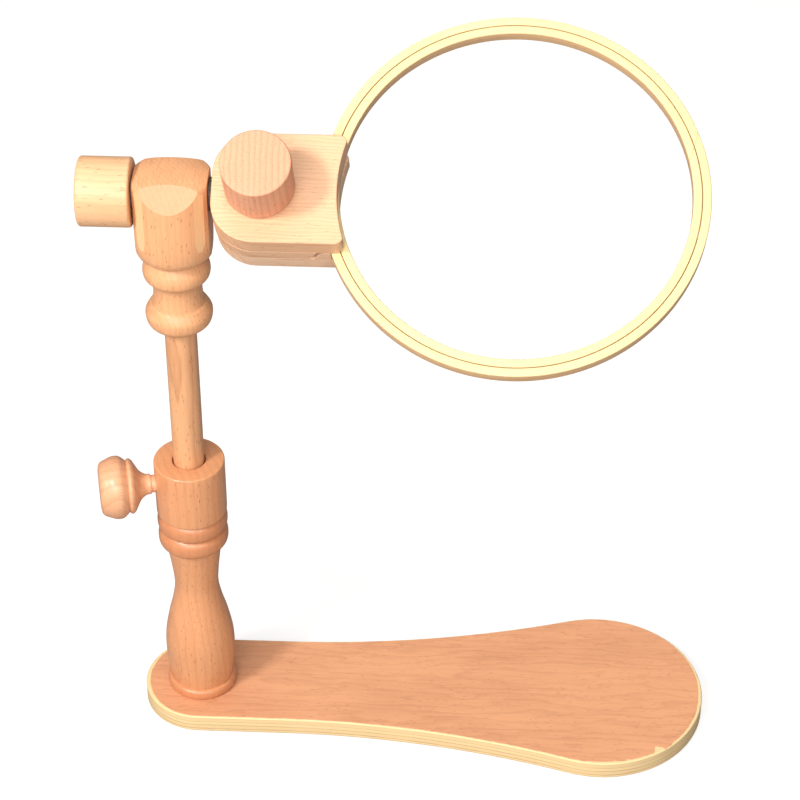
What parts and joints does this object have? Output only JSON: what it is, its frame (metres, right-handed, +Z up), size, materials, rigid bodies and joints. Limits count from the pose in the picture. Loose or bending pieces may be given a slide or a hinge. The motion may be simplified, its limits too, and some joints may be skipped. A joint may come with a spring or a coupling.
{
  "type": "embroidery hoop on stand",
  "caption": "Wooden embroidery hoop held by a two-jaw clamp on a turned post with a sliding rod, tilt and turn adjustment and a paddle-shaped foot.",
  "frame": {"origin": "centre of the foot's underside", "axes": "+Z up; +X along the foot from the post to its wide end, which is also where the hoop reaches out; +Y away from the sitter's side"},
  "size_m": [0.3527, 0.1736, 0.4208],
  "materials": {
    "ply_core": "matt sanded edge",
    "veneer": "satin lacquer",
    "beech": "satin lacquer, turned",
    "beech_pale": "satin lacquer",
    "hoop_wood": "fine sanded",
    "steel": "plain zinc",
    "brass": "plain"
  },
  "bodies": {
    "stand": {"base_core": "ply_core", "base_top_veneer": "veneer", "base_bottom_veneer": "veneer", "base_screw": "steel", "post": "beech"},
    "post_screw": {"post_screw": "beech"},
    "rod": {"rod": "beech_pale"},
    "head": {"head_block": "beech"},
    "clamp": {"side_washer": "steel", "tilt_bolt": "steel", "upper_jaw": "beech_pale", "jaw_spacer": "beech", "clamp_washer": "steel"},
    "tilt_knob": {"tilt_knob": "beech_pale", "tilt_knob_insert": "brass", "tilt_washer": "steel"},
    "lower_jaw": {"lower_jaw": "beech", "clamp_bolt": "steel"},
    "clamp_knob": {"clamp_knob": "beech_pale", "clamp_knob_insert": "brass"},
    "hoop": {"outer_ring": "hoop_wood", "inner_ring": "hoop_wood", "hoop_lug_front": "steel", "hoop_lug_back": "steel", "hoop_nut": "brass"},
    "hoop_screw": {"hoop_screw": "brass"}
  },
  "joints": [
    {"name": "height_slide", "type": "slide", "parent": "stand", "child": "rod", "axis": [0, 0, 1], "range_m": [-0.03, 0.025]},
    {"name": "post_screw_turn", "type": "hinge", "parent": "stand", "child": "post_screw", "pos_m": [-0.16234, -0.00624, 0.1668], "axis": [-0.9781, -0.2079, 0], "range_deg": [0, 1080]},
    {"name": "head_swivel", "type": "hinge", "parent": "rod", "child": "head", "pos_m": [-0.133, 0, 0.3], "axis": [0, 0, 1], "continuous": true},
    {"name": "hoop_tilt", "type": "hinge", "parent": "head", "child": "clamp", "pos_m": [-0.133, 0, 0.3608], "axis": [1, 0, 0], "continuous": true},
    {"name": "tilt_knob_turn", "type": "hinge", "parent": "clamp", "child": "tilt_knob", "pos_m": [-0.168, 0, 0.3608], "axis": [-1, 0, 0], "range_deg": [0, 720]},
    {"name": "clamp_knob_turn", "type": "hinge", "parent": "clamp", "child": "clamp_knob", "pos_m": [-0.0857, -0.01869, 0.38444], "axis": [0, -0.5446, 0.8387], "range_deg": [0, 2161]},
    {"name": "jaw_open", "type": "slide", "parent": "clamp", "child": "lower_jaw", "axis": [0, 0.5446, -0.8387], "range_m": [0, 0.0075]},
    {"name": "hoop_out", "type": "slide", "parent": "clamp", "child": "hoop", "axis": [1, 0, 0], "range_m": [0, 0.03]},
    {"name": "hoop_screw_turn", "type": "hinge", "parent": "hoop", "child": "hoop_screw", "pos_m": [-0.0617, 0.00008, 0.36067], "axis": [0, -0.8387, -0.5446], "range_deg": [0, 1080]}
  ],
  "couplings": [
    {"joint": "clamp_knob_turn", "follows": "jaw_open", "rad_per_m": 5026.5}
  ]
}
